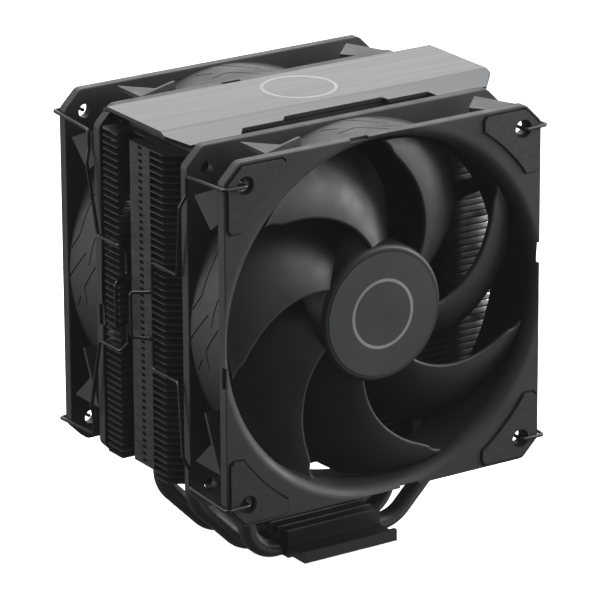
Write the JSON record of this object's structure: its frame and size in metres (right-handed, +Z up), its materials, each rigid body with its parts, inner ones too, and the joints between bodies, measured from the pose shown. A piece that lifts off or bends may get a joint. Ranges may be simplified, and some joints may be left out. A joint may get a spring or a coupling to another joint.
{
  "type": "cpu tower cooler",
  "caption": "Dual-fan tower cooler for a processor: direct-contact heat pipes, a fin stack, open-corner fans on wire clips and a folded metal top cover.",
  "frame": {"origin": "middle of the contact face under the base block", "axes": "+Z up from the processor, +X across the fans' width, +Y from the front fan to the rear fan, in the direction of the air"},
  "size_m": [0.1336, 0.103, 0.1515],
  "materials": {
    "base_metal": "black anodised, satin",
    "pipe_metal": "black nickel plating, satin",
    "fin_metal": "black coated sheet, satin",
    "cover_metal": "brushed and anodised dark grey",
    "tray_plastic": "fine texture",
    "marking": "thin printed ring",
    "frame_plastic": "fine moulded texture",
    "pad_rubber": "soft matt",
    "rotor_plastic": "satin moulding",
    "hub_plastic": "satin",
    "bearing_brass": "turned",
    "core_steel": "stamped sheet",
    "coil_copper": "enamelled wire",
    "board": "solder mask",
    "label": "blank printed film",
    "magnet": "bonded ferrite",
    "shaft_steel": "ground",
    "clip_wire": "blackened spring wire"
  },
  "bodies": {
    "heatsink": {"base_block": "base_metal", "heat_pipe_1": "pipe_metal", "heat_pipe_2": "pipe_metal", "heat_pipe_3": "pipe_metal", "heat_pipe_4": "pipe_metal", "fin_stack": "fin_metal", "top_cover": "cover_metal", "cover_ring": "marking", "cover_carrier": "tray_plastic", "front_fan_frame": "frame_plastic", "front_fan_front_pads": "pad_rubber", "front_fan_rear_pads": "pad_rubber", "front_fan_bearing_tube": "bearing_brass", "front_fan_sleeve_bearing": "bearing_brass", "front_fan_stator_core": "core_steel", "front_fan_stator_coils": "coil_copper", "front_fan_circuit_board": "board", "front_fan_blank_label": "label", "rear_fan_frame": "frame_plastic", "rear_fan_front_pads": "pad_rubber", "rear_fan_rear_pads": "pad_rubber", "rear_fan_bearing_tube": "bearing_brass", "rear_fan_sleeve_bearing": "bearing_brass", "rear_fan_stator_core": "core_steel", "rear_fan_stator_coils": "coil_copper", "rear_fan_circuit_board": "board", "rear_fan_blank_label": "label"},
    "front_rotor": {"front_fan_rotor": "rotor_plastic", "front_fan_motor_yoke": "core_steel", "front_fan_magnet_ring": "magnet", "front_fan_shaft": "shaft_steel", "front_fan_retaining_ring": "tray_plastic", "front_fan_hub_disc": "hub_plastic", "front_fan_hub_ring": "marking"},
    "rear_rotor": {"rear_fan_rotor": "rotor_plastic", "rear_fan_motor_yoke": "core_steel", "rear_fan_magnet_ring": "magnet", "rear_fan_shaft": "shaft_steel", "rear_fan_retaining_ring": "tray_plastic", "rear_fan_hub_disc": "hub_plastic", "rear_fan_hub_ring": "marking"},
    "front_clip_left": {"front_clip_left": "clip_wire"},
    "front_clip_right": {"front_clip_right": "clip_wire"},
    "rear_clip_left": {"rear_clip_left": "clip_wire"},
    "rear_clip_right": {"rear_clip_right": "clip_wire"}
  },
  "joints": [
    {"name": "front_rotor_spin", "type": "hinge", "parent": "heatsink", "child": "front_rotor", "pos_m": [0, -0.0367, 0.0885], "axis": [0, -1, 0], "continuous": true},
    {"name": "rear_rotor_spin", "type": "hinge", "parent": "heatsink", "child": "rear_rotor", "pos_m": [0, 0.0367, 0.0885], "axis": [0, -1, 0], "continuous": true},
    {"name": "front_clip_left_swing", "type": "hinge", "parent": "heatsink", "child": "front_clip_left", "pos_m": [-0.0525, -0.0509, 0.0885], "axis": [0, 0, 1], "range_deg": [0, 20]},
    {"name": "front_clip_right_swing", "type": "hinge", "parent": "heatsink", "child": "front_clip_right", "pos_m": [0.0525, -0.0509, 0.0885], "axis": [0, 0, -1], "range_deg": [0, 20]},
    {"name": "rear_clip_left_swing", "type": "hinge", "parent": "heatsink", "child": "rear_clip_left", "pos_m": [-0.0525, 0.0509, 0.0885], "axis": [0, 0, -1], "range_deg": [0, 20]},
    {"name": "rear_clip_right_swing", "type": "hinge", "parent": "heatsink", "child": "rear_clip_right", "pos_m": [0.0525, 0.0509, 0.0885], "axis": [0, 0, 1], "range_deg": [0, 20]}
  ]
}
